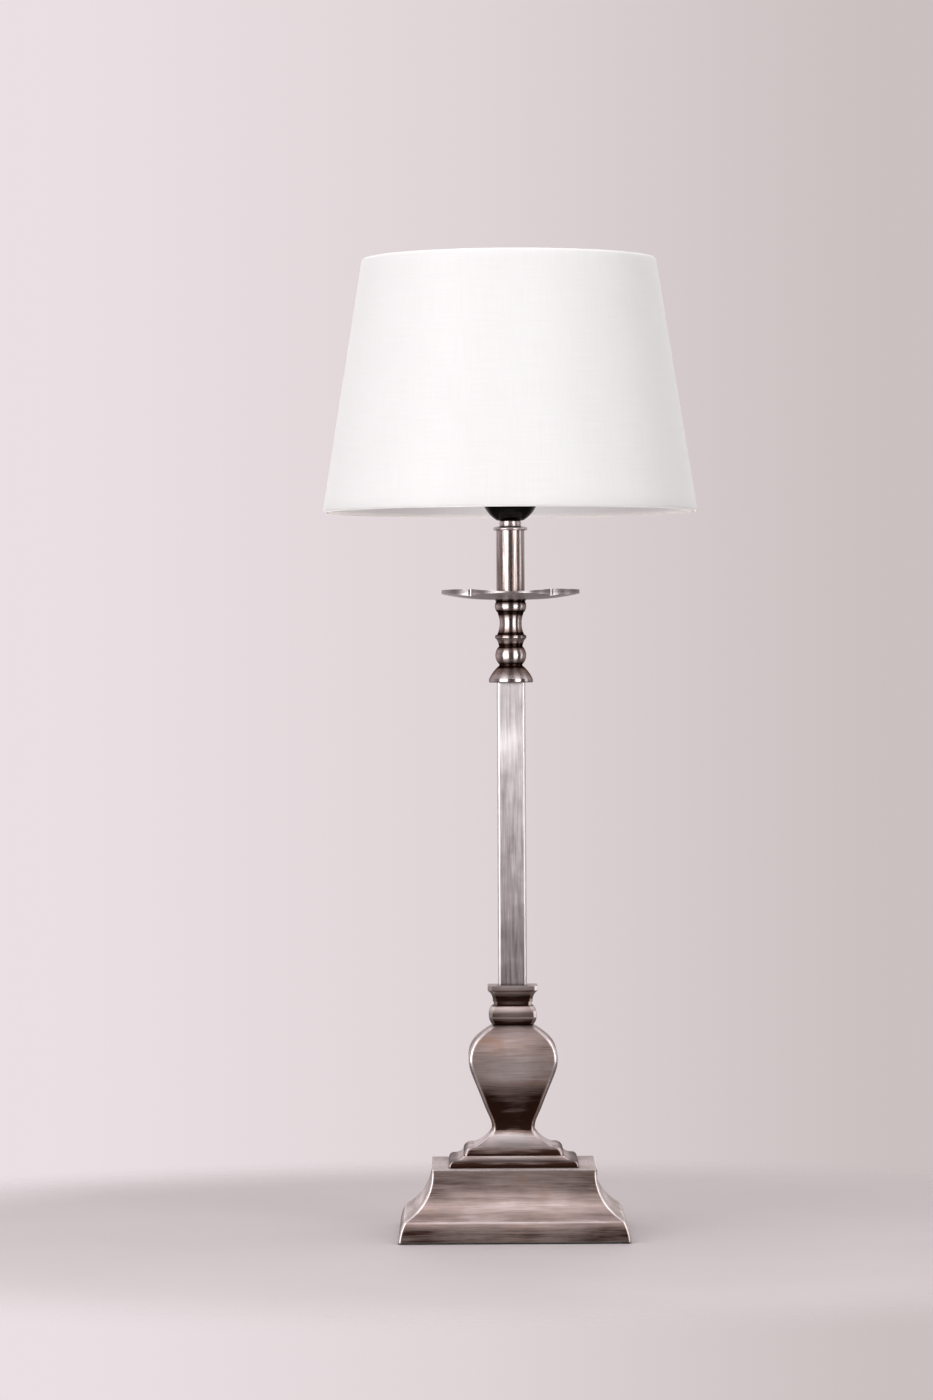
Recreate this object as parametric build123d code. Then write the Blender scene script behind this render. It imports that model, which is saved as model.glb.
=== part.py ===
"""Candlestick table lamp.

A square cast plinth, step, baluster and collar carry a square column, a turned knop, a lobed drip
pan and a candle sleeve, all threaded on one hollow rod. A screw-ring lampholder on the rod's top
end carries the bulb and a tapered fabric shade.

Millimetres, +Z up. The origin is on the resting plane, under the column's axis. The front is -Y.
"""
from build123d import *
import math
import os

# ---- driving dimensions: heights of the joints between the stacked pieces ----------------------
FOOT_GAP = 1.0              # the felt shows under the plinth's rim
PLINTH_TOP = 47.0
STEP_TOP = 54.2
BALUSTER_TOP = 139.5
COLLAR_TOP = 165.7
COLUMN_TOP = 367.3
KNOP_TOP = 422.6
SLEEVE_TOP = 468.7
CAP_TOP = 471.0
NECK_TOP = 475.2
DOME_TOP = 497.5
SHOULDER_TOP = 502.5        # the shade's gallery ring rests here
HOLDER_TOP = 529.5
SHADE_BOTTOM = 480.8
SHADE_TOP = 649.7

# ---- driving dimensions: widths, walls and fits ------------------------------------------------
FOOT_HALF = 76.4            # plinth, half its width at the bottom
LIP_HALF = 72.6             # plinth, half its width on the lip
PLATEAU_HALF = 54.7
CAST_WALL = 3.0
COLUMN_HALF = 9.5
COLUMN_CORNER = 2.0
COLUMN_WALL = 1.2
SLEEVE_RADIUS = 9.45
SLEEVE_WALL = 0.8
SPIGOT_RADIUS = SLEEVE_RADIUS - SLEEVE_WALL - 0.05  # seat and cap plug into the sleeve
PAN_REACH = 46.0            # axis to the middle of a lobe's rim
PAN_CUSP = 26.7             # the notches lie at this x and y
PAN_NOTCH_RADIUS = 1.4
PAN_SHEET = 1.2
PAN_RIM = 429.3
BARREL_RADIUS = 19.5
BULB_RADIUS = 30.0
BULB_TOP = 605.0
SHADE_BOTTOM_RADIUS = 125.0
SHADE_TOP_RADIUS = 98.0
WIRE_RADIUS = 1.4           # shade frame
ARM_RADIUS = 1.15
RUNNING_FIT = 0.08          # shade ring on the barrel

ROD_RADIUS = 5.0            # M10 x 1 hollow rod
ROD_HOLE_RADIUS = 3.5
ROD_BOTTOM = 18.0
ROD_TOP = 480.0
ROD_CLEARANCE_RADIUS = 5.25

BALLAST_HALF = 49.0
BALLAST_BOTTOM = 28.0
WASHER_THICKNESS = 1.6
NUT_HEIGHT = 5.0
NUT_FLATS = 17.0
PLATE_HALF = 70.5
PLATE_BOTTOM = 2.0
PLATE_TOP = 3.5
SCREW_PLACE = 54.0          # base screws at this x and y
INLET_HEIGHT = 8.4
INLET_BORE_RADIUS = 3.2
INLET_BARREL_RADIUS = 4.5
INLET_FACE = 73.0           # y of the flat spot that the bush's flange sits on

ARM_ANGLES = (90, 210, 330)  # one arm straight behind the lampholder


# ---- outlines and solids -----------------------------------------------------------------------
def curves(start, steps):
    """Edges through (radius, height) points, and the last point.

    A step that is one point is a straight line to it, two points are an arc's middle and end, and
    more are a smooth curve.
    """
    edges, here = [], start
    for step in steps:
        if not isinstance(step[0], tuple):
            edges.append(Line(here, step))
            here = step
            continue
        edges.append(ThreePointArc(here, *step) if len(step) == 2 else Spline(here, *step))
        here = step[-1]
    return edges, here


def outline(start, *steps):
    """Closed face through (radius, height) points."""
    edges, last = curves(start, steps)
    return make_face(edges + [Line(last, start)])


def turned(face):
    """The solid that a (radius, height) face sweeps round the axis."""
    return revolve(Plane.XZ * face, Axis.Z)


def mitred(start, *steps):
    """The square casting whose front and side views are both the mirrored half outline."""
    edges, top = curves(start, steps)
    other_side = [mirror(edge, Plane.YZ) for edge in edges]
    ends = [Line((-x, z), (x, z)) for x, z in (start, top)]
    face = Plane.XZ * make_face(edges + other_side + ends)
    front_view = extrude(face, amount=2 * FOOT_HALF, both=True)
    return front_view & front_view.rotate(Axis.Z, 90)


def ridges(solid):
    """The mitre edges, where a square casting's front and side faces meet."""
    found = []
    for edge in solid.edges():
        middle, rise = edge @ 0.5, (edge @ 1 - edge @ 0).Z
        if abs(abs(middle.X) - abs(middle.Y)) < 1e-3 and abs(middle.X) > 1 and abs(rise) > 0.05:
            found.append(edge)
    return found


def flat_corners(band, start, *steps):
    """A square casting with its mitre edges cut back to flats that look so wide from the front."""
    def diagonal(point):
        return math.sqrt(2) * (point[0] - band / 2), point[1]

    moved = [tuple(map(diagonal, step)) if isinstance(step[0], tuple) else diagonal(step) for step in steps]
    return mitred(start, *steps) & mitred(diagonal(start), *moved).rotate(Axis.Z, 45)


def cylinder(radius, bottom, top):
    return Pos(0, 0, bottom) * extrude(Circle(radius), amount=top - bottom)


def tube(outer, inner, bottom, top):
    return cylinder(outer, bottom, top) - cylinder(inner, bottom, top)


def square_bar(half, corner, bottom, top):
    return Pos(0, 0, bottom) * extrude(RectangleRounded(2 * half, 2 * half, corner), amount=top - bottom)


def at_corners(solid, place):
    return [Pos(x, y, 0) * solid for x in (-place, place) for y in (-place, place)]


def rod_hole(bottom, top):
    return cylinder(ROD_CLEARANCE_RADIUS, bottom, top)


# ---- foot --------------------------------------------------------------------------------------
def plinth_outline(inset, top):
    """The plinth's outside, or its hollow when moved in by the wall."""
    return (
        (FOOT_HALF - inset, FOOT_GAP),
        ((FOOT_HALF - 1.3 - inset, 7.8), (LIP_HALF - inset, 14.1 - inset * 0.4)),
        ((60.6 - inset, 24.9 - inset * 0.6), (PLATEAU_HALF - inset, top)),
    )


def on_inlet(solid):
    """Turn a solid along Z into one along +Y, with its origin on the inlet's face at the back."""
    return Pos(0, INLET_FACE, INLET_HEIGHT) * Rot(-90, 0, 0) * solid


def plinth_shell():
    outside = mitred(*plinth_outline(0, PLINTH_TOP))
    outside = fillet(ridges(outside), 1.8)
    hollow = mitred(*plinth_outline(CAST_WALL, PLINTH_TOP - CAST_WALL))
    shell = outside - hollow
    for corner in at_corners(cylinder(4.5, PLATE_TOP, 30), SCREW_PLACE):
        shell += corner & outside
    for pilot in at_corners(cylinder(1.7, PLATE_TOP - 1, 15), SCREW_PLACE):
        shell -= pilot
    shell -= on_inlet(cylinder(6.2, 0, 10))
    shell -= on_inlet(cylinder(INLET_BARREL_RADIUS, -20, 10))
    return shell - rod_hole(0, PLINTH_TOP + 1)


def inlet_bush():
    """Plastic bush, flange outside and snap lip inside, with its mouth rounded for the cord."""
    barrel = INLET_BARREL_RADIUS - 0.1
    section = outline(
        (INLET_BORE_RADIUS, -5.2), (barrel, -5.2), (4.8, -4.6), (barrel, -4.2),
        (barrel, 0), (6.0, 0), (6.0, 1.2), ((5.7, 2.0), (5.0, 2.2)),
        (4.4, 2.2), ((3.6, 1.8), (INLET_BORE_RADIUS, 0.8)),
    )
    return on_inlet(turned(section))


def ballast_block():
    block = square_bar(BALLAST_HALF, 6, BALLAST_BOTTOM, PLINTH_TOP - CAST_WALL)
    return chamfer(block.faces().sort_by(Axis.Z)[0].edges(), 2) - rod_hole(20, 50)


def base_plate():
    plate = square_bar(PLATE_HALF, 6, PLATE_BOTTOM, PLATE_TOP)
    for hole in at_corners(cylinder(2.2, 0, 10), SCREW_PLACE):
        plate -= hole
    return plate


def felt_pad():
    pad = square_bar(PLATE_HALF - 1, 5, 0, PLATE_BOTTOM)
    for hole in at_corners(cylinder(4.2, -1, 10), SCREW_PLACE):
        pad -= hole
    return pad


def base_screws():
    head = turned(outline((0, 0.4), (2.9, 0.4), ((3.6, 0.9), (3.9, PLATE_BOTTOM)), (0, PLATE_BOTTOM)))
    slot = Pos(0, 0, 0.4) * Box(6, 0.8, 1.2)
    shank = cylinder(1.65, PLATE_BOTTOM, 13)
    return Compound(at_corners(head + shank - slot, SCREW_PLACE))


def threaded_rod():
    rod = tube(ROD_RADIUS, ROD_HOLE_RADIUS, ROD_BOTTOM, ROD_TOP)
    return chamfer(rod.edges().filter_by(GeomType.CIRCLE).filter_by(lambda e: e.radius > 4.9), 0.5)


def rod_washer():
    return tube(14, ROD_CLEARANCE_RADIUS, BALLAST_BOTTOM - WASHER_THICKNESS, BALLAST_BOTTOM)


def rod_nut():
    top = BALLAST_BOTTOM - WASHER_THICKNESS
    prism = Pos(0, 0, top - NUT_HEIGHT) * extrude(
        RegularPolygon(NUT_FLATS / 2, 6, major_radius=False), amount=NUT_HEIGHT)
    corner = NUT_FLATS / math.sqrt(3)
    crown = turned(outline((0, top - NUT_HEIGHT), (corner - 1.2, top - NUT_HEIGHT),
                           (corner, top - NUT_HEIGHT + 0.7), (corner, top), (0, top)))
    return (prism & crown) - cylinder(ROD_RADIUS, 0, 50)


# ---- square castings ---------------------------------------------------------------------------
def lower_step():
    step = mitred((42.9, PLINTH_TOP), ((42.2, 50.0), (39.5, 51.3)), ((36.2, 52.1), (33.3, STEP_TOP)))
    return fillet(ridges(step), 1.2) - rod_hole(40, 60)


def baluster():
    """Upper step, flare, waist and vase, cored from below."""
    body = mitred(
        (33.3, STEP_TOP),
        ((31.7, 58.1), (27.8, 59.7)),
        (26.3, 59.7),
        ((19.6, 63.6), (14.4, 69.5)),
        ((14.6, 75.0), (17.2, 81.7), (21.9, 93.7), (26.7, 105.7), (29.6, 117.0), (27.8, 125.7),
         (21.1, 133.7), (12.9, BALUSTER_TOP)),
    )
    body = fillet(ridges(body), 2.6)
    core = turned(outline(
        (0, STEP_TOP), (24, STEP_TOP), ((14.5, 60.0), (9.8, 70.0)), ((13.0, 84.0), (23.5, 112.0)),
        ((22.0, 124.0), (9.0, 132.5)), (0, 132.5)))
    return body - core - rod_hole(50, 150)


def collar():
    """Bulge, short neck, hollow and a thin square plate on top."""
    body = flat_corners(
        2.2,
        (12.9, BALUSTER_TOP), ((15.9, 145.4), (13.6, 152.0)), (12.6, 152.0), (12.6, 155.2),
        (13.2, 155.2), ((13.9, 159.4), (16.6, 162.6)), (16.6, COLLAR_TOP),
    )
    return body - rod_hole(130, 170)


def column_tube():
    outside = square_bar(COLUMN_HALF, COLUMN_CORNER, COLLAR_TOP, COLUMN_TOP)
    inside = square_bar(COLUMN_HALF - COLUMN_WALL, COLUMN_CORNER - COLUMN_WALL, COLLAR_TOP, COLUMN_TOP)
    return outside - inside


def column_plugs():
    """Two square plugs that centre the tube on the rod."""
    half, length = COLUMN_HALF - COLUMN_WALL - 0.05, 9.0
    plugs = []
    for bottom in (COLLAR_TOP, COLUMN_TOP - length):
        plug = square_bar(half, COLUMN_CORNER - COLUMN_WALL, bottom, bottom + length)
        plugs.append(plug - rod_hole(bottom, bottom + length))
    return Compound(plugs)


# ---- turned pieces -----------------------------------------------------------------------------
def knop():
    """Bell, ball, ring, waist and cup, turned from one bar."""
    body = turned(outline(
        (0, COLUMN_TOP), (14.3, COLUMN_TOP), (14.7, 367.8), (14.6, 369.6),
        ((12.1, 374.0), (7.9, 378.5)), (7.7, 379.4),
        ((10.3, 385.3), (7.8, 391.5)), (8.1, 392.3),
        ((9.0, 395.2), (10.5, 397.0)), (10.3, 398.7), (9.1, 399.2),
        ((7.3, 406.3), (8.7, 413.6)), (8.5, 413.9), (9.1, 414.3),
        ((10.5, 418.3), (9.7, 421.4)), (9.5, 421.6), (10.3, 421.9), (10.3, KNOP_TOP), (0, KNOP_TOP),
    ))
    return body - rod_hole(360, 430)


def quatrefoil(inset):
    """Four round lobes that meet in cusps on the diagonals."""
    # a lobe's circle passes through its middle (reach, 0) and both cusps (cusp, +-cusp)
    run = PAN_REACH - PAN_CUSP
    radius = (run ** 2 + PAN_CUSP ** 2) / (2 * run)
    centre = PAN_REACH - radius
    lobes = [Rot(0, 0, angle) * Pos(centre, 0) * Circle(radius - inset) for angle in (0, 90, 180, 270)]
    return lobes[0] + lobes[1] + lobes[2] + lobes[3]


def drip_pan():
    """Shallow dish with an upright lip round four lobes, lower in the middle of front and back."""
    far = PAN_REACH + 4

    def above_dish(lift, top):
        return turned(outline((0, KNOP_TOP + lift), (12, KNOP_TOP + lift),
                              ((31, 423.7 + lift), (far, 427.4 + lift)), (far, top), (0, top)))

    def lobed_prism(inset):
        return Pos(0, 0, KNOP_TOP - 1) * extrude(quatrefoil(inset), amount=20)

    pan = lobed_prism(0) & above_dish(0, PAN_RIM)
    pan -= lobed_prism(PAN_SHEET) & above_dish(PAN_SHEET, PAN_RIM + 5)
    for notch in at_corners(cylinder(PAN_NOTCH_RADIUS, 420, 440), PAN_CUSP + 0.4):
        pan -= notch
    other_lobes = Box(4 * far, 2 * PAN_CUSP - 5, 1000)
    for angle, dip in ((0, 1.9), (90, 0.2)):
        radius = (PAN_CUSP ** 2 + dip ** 2) / (2 * dip)
        scoop = Pos(0, 0, PAN_RIM - dip + radius) * Rot(90, 0, 0) * Cylinder(radius, 4 * far)
        pan -= Rot(0, 0, angle) * (scoop - other_lobes)
    return pan - rod_hole(420, 430)


def sleeve_seat():
    return cylinder(SPIGOT_RADIUS, KNOP_TOP + PAN_SHEET, KNOP_TOP + 5) - rod_hole(420, 430)


def candle_sleeve():
    return tube(SLEEVE_RADIUS, SLEEVE_RADIUS - SLEEVE_WALL, KNOP_TOP + PAN_SHEET, SLEEVE_TOP)


def sleeve_cap():
    return turned(outline(
        (ROD_CLEARANCE_RADIUS, 464), (SPIGOT_RADIUS, 464), (SPIGOT_RADIUS, SLEEVE_TOP), (11.0, SLEEVE_TOP),
        ((11.5, 469.6), (11.1, 470.5)), (10.4, CAP_TOP), (ROD_CLEARANCE_RADIUS, CAP_TOP)))


def neck_nut():
    return turned(outline(
        (ROD_RADIUS, CAP_TOP), (6.8, CAP_TOP), (7.3, CAP_TOP + 0.5), (7.3, NECK_TOP - 0.5),
        (6.8, NECK_TOP), (ROD_RADIUS, NECK_TOP)))


# ---- lampholder --------------------------------------------------------------------------------
def lampholder_dome():
    return turned(outline(
        (ROD_CLEARANCE_RADIUS, NECK_TOP), (8.7, NECK_TOP), ((15.4, 481.2), (19.3, 491.0)),
        (19.3, DOME_TOP), (17.2, DOME_TOP), (17.2, 492.0), ((13.2, 483.2), (9.0, 478.0)),
        (ROD_CLEARANCE_RADIUS, 478.0)))


def entry_bush():
    """Threaded brass bush moulded in the dome's floor."""
    return turned(outline((ROD_RADIUS, 478.0), (8.6, 478.0), (7.6, 482.5), (ROD_RADIUS, 482.5)))


def ceramic_core():
    core = turned(outline((0, 489.0), (14.0, 489.0), (15.0, 490.0), (15.0, 503.0), (0, 503.0)))
    for x in (-9.5, 9.5):
        core -= Pos(x, 0, 488) * extrude(Circle(2.6), amount=7)
    return core - Pos(0, 0, 489) * Box(6, 12, 8)


def terminal_screws():
    screws = []
    for x in (-9.5, 9.5):
        screw = Pos(x, 0, 488.2) * extrude(Circle(2.4), amount=1.8)
        shank = Pos(x, 0, 490) * extrude(Circle(1.5), amount=5)
        screws.append(screw + shank - Pos(x, 0, 488.2) * Box(6, 0.7, 1.4))
    return Compound(screws)


def centre_contact():
    """Sprung tongue under the bulb's tip."""
    foot = Pos(0, -4.5, 503.25) * Box(5, 5, 0.5)
    tongue = Pos(0, 0.5, 503.65) * Box(5, 5, 0.5)
    riser = Pos(0, -2, 503.45) * Box(5, 0.6, 0.9)
    return foot + tongue + riser


def side_contact():
    return Pos(14.27, 0, 503.0) * extrude(Rectangle(0.3, 2.4), amount=9)


def screw_shell():
    shell = tube(14.1, 13.5, 503.0, 527.5)
    return shell - Pos(14, 0, 507) * Box(4, 7, 10)


def lampholder_skirt():
    return turned(outline(
        (17.2, DOME_TOP), (20.0, DOME_TOP), (20.0, 499.6), (22.6, 500.0), (22.6, SHOULDER_TOP),
        (BARREL_RADIUS, SHOULDER_TOP), (BARREL_RADIUS, HOLDER_TOP - 1), (BARREL_RADIUS - 1, HOLDER_TOP),
        (14.6, HOLDER_TOP), (14.6, 505.0), (17.2, 503.5)))


def shade_ring():
    inner = BARREL_RADIUS + RUNNING_FIT
    seat = SHOULDER_TOP + 1.5
    ring = turned(outline(
        (inner, seat), (24.6, seat), (24.6, seat + 1.6), (23.2, seat + 2.4),
        (23.2, seat + 6.4), (22.4, seat + 7.2), (inner, seat + 7.2)))
    groove = Pos(23.6, 0, seat + 2.6) * extrude(Circle(0.8), amount=10)
    for index in range(24):
        ring -= Rot(0, 0, 15 * index) * groove
    return ring


# ---- bulb --------------------------------------------------------------------------------------
def bulb_contact():
    return turned(outline((0, 503.9), (3.0, 503.9), (4.6, 505.2), (0, 505.2)))


def bulb_insulator():
    return turned(outline((0, 505.2), (4.6, 505.2), ((8.4, 506.4), (10.6, 509.0)), (0, 509.0)))


def bulb_cap():
    return turned(outline(
        (10.6, 509.0), (11.6, 509.4), (13.1, 511.5), (13.1, 527.0), (13.4, 531.0), (13.0, 531.0),
        (12.6, 527.0), (12.6, 511.8), (10.6, 509.8)))


def bulb_glass():
    body = BULB_RADIUS
    outer_side = turned(outline(
        (0, 513.0), (11.8, 513.0), (12.4, 514.0), (12.4, 527.0), (12.9, 531.0),
        ((13.6, 536.0), (18.0, 549.0), (26.2, 561.5), (body, 575.0), (26.0, 590.2),
         (14.5, 601.6), (0, BULB_TOP))))
    inner_side = turned(outline(
        (0, 514.0), (11.4, 514.0), (11.4, 527.0), (12.0, 531.5),
        ((12.8, 536.5), (17.2, 549.6), (25.4, 562.0), (body - 0.8, 575.0), (25.3, 589.8),
         (14.2, 600.8), (0, BULB_TOP - 0.8))))
    return outer_side - inner_side


# ---- shade -------------------------------------------------------------------------------------
SHADE_SLOPE = (SHADE_BOTTOM_RADIUS - SHADE_TOP_RADIUS) / (SHADE_TOP - SHADE_BOTTOM)
COVER_THICKNESS = 0.8
GLUE_LINE = 0.1
LINING_THICKNESS = 0.7
HEM_RADIUS = 2.0            # fabric turned round a wire ring
HEM_THICKNESS = 0.5
RING_INSET = 2.1            # wire ring's centre, in from the shade's edge along its height


def shade_radius(height, depth=0.0):
    """Radius of the shade at a height, the given depth inside its outer face."""
    return SHADE_BOTTOM_RADIUS - SHADE_SLOPE * (height - SHADE_BOTTOM) - depth


def cone_shell(depth, thickness):
    bottom, top = SHADE_BOTTOM, SHADE_TOP
    return turned(outline(
        (shade_radius(bottom, depth), bottom), (shade_radius(top, depth), top),
        (shade_radius(top, depth + thickness), top), (shade_radius(bottom, depth + thickness), bottom)))


LINING_FACE = COVER_THICKNESS + GLUE_LINE + LINING_THICKNESS


def ring_centre(height):
    return shade_radius(height, LINING_FACE) - WIRE_RADIUS - 0.1


def wire_ring(height):
    return turned(Pos(ring_centre(height), height) * Circle(WIRE_RADIUS))


def hem(height):
    """Half round of fabric over a wire ring, glued to the lining above and below it."""
    around = Circle(HEM_RADIUS) - Circle(HEM_RADIUS - HEM_THICKNESS)
    section = Pos(ring_centre(height), height) * around
    low, high = height - 3, height + 3
    behind = outline(
        (shade_radius(low, LINING_FACE), low), (shade_radius(high, LINING_FACE), high),
        (shade_radius(high, -3), high), (shade_radius(low, -3), low))
    return turned(section - behind)


BOTTOM_RING_HEIGHT = SHADE_BOTTOM + RING_INSET
TOP_RING_HEIGHT = SHADE_TOP - RING_INSET


def arm(radius):
    """One cranked wire from the gallery ring down to the bottom wire ring, along +X."""
    height = SHOULDER_TOP + 0.75
    end = (ring_centre(BOTTOM_RING_HEIGHT), BOTTOM_RING_HEIGHT)
    path = Plane.XZ * FilletPolyline((23, height), (40, height), end, radius=14)
    section = Plane(origin=path @ 0, z_dir=path % 0) * Circle(radius)
    return sweep(section, path=path)


def gallery_ring():
    return tube(25.0, 20.6, SHOULDER_TOP, SHOULDER_TOP + 1.5)


def shade_arms():
    one = arm(ARM_RADIUS) - cylinder(25.0, 490, 510) - wire_ring(BOTTOM_RING_HEIGHT)
    return Compound([Rot(0, 0, angle) * one for angle in ARM_ANGLES])


def bottom_hem():
    cloth = hem(BOTTOM_RING_HEIGHT)
    for angle in ARM_ANGLES:
        cloth -= Rot(0, 0, angle) * arm(ARM_RADIUS + 0.2)
    return cloth


# ---- the whole lamp ----------------------------------------------------------------------------
def make_parts():
    return {
        "felt_pad": felt_pad(),
        "base_plate": base_plate(),
        "base_screws": base_screws(),
        "plinth_shell": plinth_shell(),
        "inlet_bush": inlet_bush(),
        "ballast_block": ballast_block(),
        "rod_nut": rod_nut(),
        "rod_washer": rod_washer(),
        "threaded_rod": threaded_rod(),
        "lower_step": lower_step(),
        "baluster": baluster(),
        "collar": collar(),
        "column_tube": column_tube(),
        "column_plugs": column_plugs(),
        "knop": knop(),
        "drip_pan": drip_pan(),
        "sleeve_seat": sleeve_seat(),
        "candle_sleeve": candle_sleeve(),
        "sleeve_cap": sleeve_cap(),
        "neck_nut": neck_nut(),
        "lampholder_dome": lampholder_dome(),
        "entry_bush": entry_bush(),
        "ceramic_core": ceramic_core(),
        "terminal_screws": terminal_screws(),
        "centre_contact": centre_contact(),
        "side_contact": side_contact(),
        "screw_shell": screw_shell(),
        "lampholder_skirt": lampholder_skirt(),
        "shade_ring": shade_ring(),
        "bulb_contact": bulb_contact(),
        "bulb_insulator": bulb_insulator(),
        "bulb_cap": bulb_cap(),
        "bulb_glass": bulb_glass(),
        "shade_cover": cone_shell(0, COVER_THICKNESS),
        "shade_lining": cone_shell(COVER_THICKNESS + GLUE_LINE, LINING_THICKNESS),
        "top_wire_ring": wire_ring(TOP_RING_HEIGHT),
        "bottom_wire_ring": wire_ring(BOTTOM_RING_HEIGHT),
        "shade_arms": shade_arms(),
        "gallery_ring": gallery_ring(),
        "top_hem": hem(TOP_RING_HEIGHT),
        "bottom_hem": bottom_hem(),
    }


def main():
    os.makedirs("parts", exist_ok=True)
    for name, shape in make_parts().items():
        export_step(shape, f"parts/{name}.step")
        print(name, round(shape.volume), "mm3")


main()
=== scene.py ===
"""The look of the candlestick lamp: materials, cloth, threads, floor, light and camera.

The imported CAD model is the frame, and Blender works in metres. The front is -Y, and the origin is
under the column's axis.
"""
import bpy
import math
from mathutils import Euler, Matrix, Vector


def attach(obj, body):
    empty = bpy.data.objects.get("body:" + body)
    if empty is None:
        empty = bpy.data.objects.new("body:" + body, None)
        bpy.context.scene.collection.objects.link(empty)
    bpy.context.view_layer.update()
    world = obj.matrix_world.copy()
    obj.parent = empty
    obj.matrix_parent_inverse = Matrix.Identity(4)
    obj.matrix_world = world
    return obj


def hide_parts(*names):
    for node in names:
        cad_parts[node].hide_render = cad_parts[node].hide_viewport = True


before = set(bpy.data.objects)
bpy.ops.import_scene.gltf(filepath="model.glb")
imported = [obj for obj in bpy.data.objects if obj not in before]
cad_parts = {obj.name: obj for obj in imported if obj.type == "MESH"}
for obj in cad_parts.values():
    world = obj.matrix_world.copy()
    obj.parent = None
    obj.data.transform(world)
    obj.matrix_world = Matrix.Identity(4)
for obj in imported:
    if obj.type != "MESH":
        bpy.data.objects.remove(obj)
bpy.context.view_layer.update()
MM = 0.001                  # metres in a millimetre


# ---- material nodes ----------------------------------------------------------------------------
def rgba(colour):
    """A node's output as it is, or a plain colour with its alpha."""
    return colour if isinstance(colour, bpy.types.NodeSocket) else (*colour, 1)


class Nodes:
    """One node tree, with short ways to add the nodes used here.

    A number or colour in a call is a plain value or another node's output.
    """

    def __init__(self, tree):
        self.tree = tree
        tree.nodes.clear()

    def add(self, kind, inputs=None, **settings):
        node = self.tree.nodes.new("ShaderNode" + kind)
        for name, value in settings.items():
            setattr(node, name, value)
        for name, value in (inputs or {}).items():
            if isinstance(value, bpy.types.NodeSocket):
                self.tree.links.new(value, node.inputs[name])
            else:
                node.inputs[name].default_value = value
        return node

    def math(self, operation, a, b=0.0, clamp=False):
        return self.add("Math", {0: a, 1: b}, operation=operation, use_clamp=clamp).outputs[0]

    def times(self, a, b):
        return self.math("MULTIPLY", a, b)

    def size(self, a):
        return self.math("ABSOLUTE", a)

    def length(self, x, y):
        return self.math("SQRT", self.math("ADD", self.times(x, x), self.times(y, y)))

    def total(self, *terms):
        result = terms[0]
        for term in terms[1:]:
            result = self.math("ADD", result, term)
        return result

    def about_zero(self, noise, amount):
        """Noise that goes half the amount either way."""
        return self.times(self.math("SUBTRACT", noise, 0.5), amount)

    def vector(self, x, y, z):
        return self.add("CombineXYZ", {"X": x, "Y": y, "Z": z}).outputs[0]

    def place(self):
        """x, y and z of the surface at rest, in millimetres."""
        coordinates = self.add("TexCoord").outputs["Object"]
        scaled = self.add("VectorMath", {0: coordinates, "Scale": 1 / MM}, operation="SCALE")
        split = self.add("SeparateXYZ", {0: scaled.outputs[0]})
        return split.outputs[0], split.outputs[1], split.outputs[2]

    def noise(self, vector, scale=1.0, detail=2.0, roughness=0.5, w=None):
        inputs = {"Vector": vector, "Scale": scale, "Detail": detail, "Roughness": roughness}
        if w is not None:
            inputs["W"] = w
        return self.add("TexNoise", inputs, noise_dimensions="3D" if w is None else "4D").outputs[0]

    def remap(self, value, low, high, to_low=0.0, to_high=1.0, smooth=False):
        inputs = {"Value": value, "From Min": low, "From Max": high,
                  "To Min": to_low, "To Max": to_high}
        kind = "SMOOTHSTEP" if smooth else "LINEAR"
        return self.add("MapRange", inputs, interpolation_type=kind).outputs[0]

    def colours(self, value, stops):
        """A colour that follows (place, colour) stops."""
        low, high = stops[0][0], stops[-1][0]
        ramp = self.add("ValToRGB", {"Fac": self.remap(value, low, high)})
        elements = ramp.color_ramp.elements
        while len(elements) < len(stops):
            elements.new(1.0)
        for element, (place, colour) in zip(elements, stops):
            element.position = (place - low) / (high - low)
            element.color = rgba(colour)
        return ramp.outputs["Color"]

    def curve(self, value, stops):
        """A number that follows (place, amount) stops, with amounts from 0 to 1."""
        return self.colours(value, [(place, (amount, amount, amount)) for place, amount in stops])

    def mix(self, share, a, b):
        """A colour between a and b."""
        inputs = {"Factor": share, 6: rgba(a), 7: rgba(b)}
        return self.add("Mix", inputs, data_type="RGBA").outputs[2]

    def rounded(self, radius, samples=4):
        """The normal as it would be if the edges were rounded."""
        return self.add("Bevel", {"Radius": radius * MM}, samples=samples).outputs[0]

    def bump(self, height, depth, normal=None):
        """The normal of a surface relief of the given depth."""
        inputs = {"Height": height, "Distance": depth * MM, "Strength": 1.0}
        if normal is not None:
            inputs["Normal"] = normal
        return self.add("Bump", inputs).outputs[0]

    def surface(self, **inputs):
        """The shader, its inputs given by name with _ for a space, and the output."""
        named = {name.replace("_", " "): value for name, value in inputs.items()}
        for name in ("Base Color", "Specular Tint"):
            if name in named:
                named[name] = rgba(named[name])
        shader = self.add("BsdfPrincipled", named)
        self.add("OutputMaterial", {"Surface": shader.outputs[0]})


def new_material(name):
    material = bpy.data.materials.new(name)
    material.use_nodes = True
    return material, Nodes(material.node_tree)


# ---- nickel ------------------------------------------------------------------------------------
# colours of rubbed, tarnished and darkened metal
WARM_TONES = ((0.76, 0.69, 0.69), (0.35, 0.273, 0.257), (0.028, 0.012, 0.008))
COOL_TONES = ((0.76, 0.71, 0.72), (0.33, 0.285, 0.292), (0.06, 0.045, 0.04))
RUST = (0.27, 0.165, 0.12)
WHITE = (1.0, 1.0, 1.0)

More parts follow.
